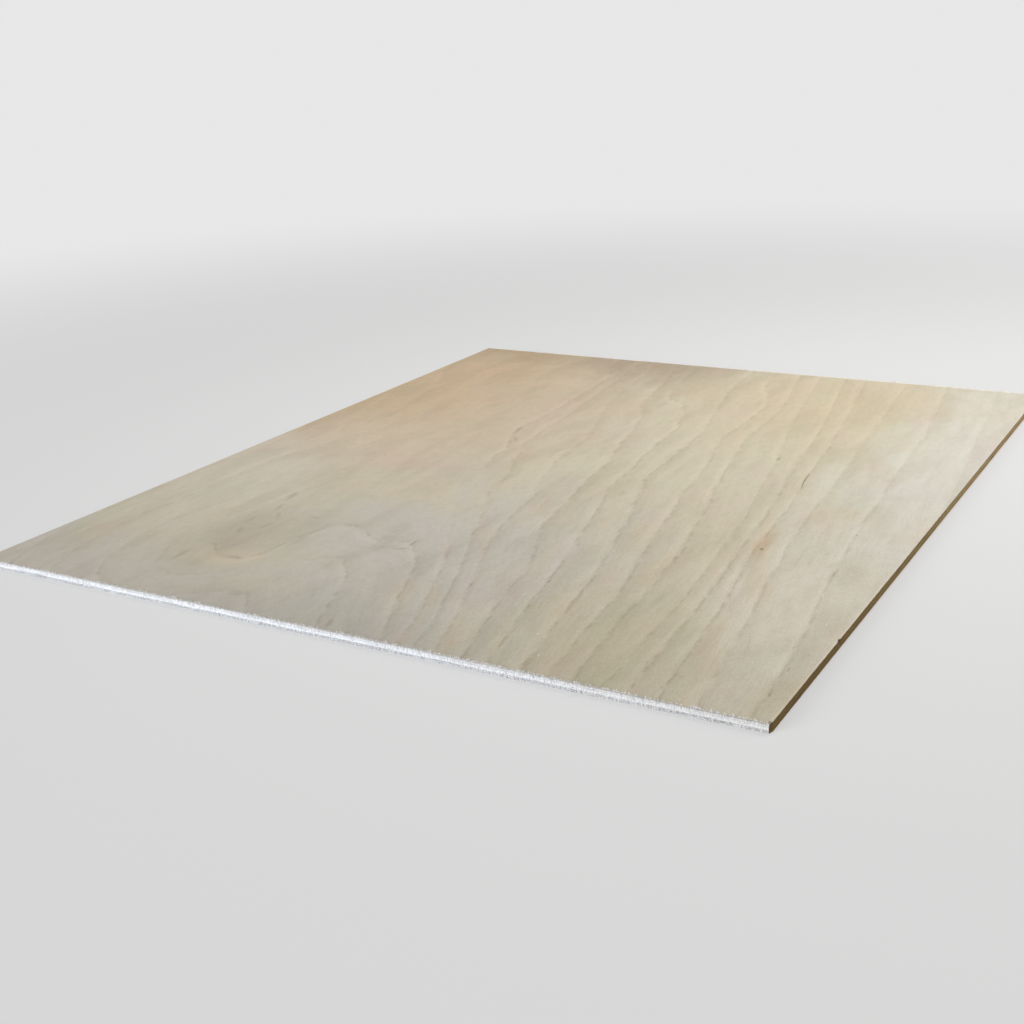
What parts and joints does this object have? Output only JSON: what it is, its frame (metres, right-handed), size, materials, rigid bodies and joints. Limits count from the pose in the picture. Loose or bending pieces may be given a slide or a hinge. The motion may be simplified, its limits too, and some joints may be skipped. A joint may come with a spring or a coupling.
{
  "type": "plywood sheet",
  "caption": "Flat rectangular sheet of thin plywood, glued up from crossed veneers, for panels, boxes and laser cutting.",
  "frame": {"origin": "middle of the underside, on the surface that the sheet lies on", "axes": "+Y along the grain of the outer veneers, +Z out of the good face, +X across the face grain"},
  "size_m": [0.3, 0.36, 0.003],
  "materials": {
    "face_veneer": "sanded, bare",
    "core_veneer": "sawn, bare",
    "back_veneer": "sanded, bare"
  },
  "bodies": {
    "root": {"face_veneer": "face_veneer", "core_veneer": "core_veneer", "back_veneer": "back_veneer"}
  },
  "joints": []
}
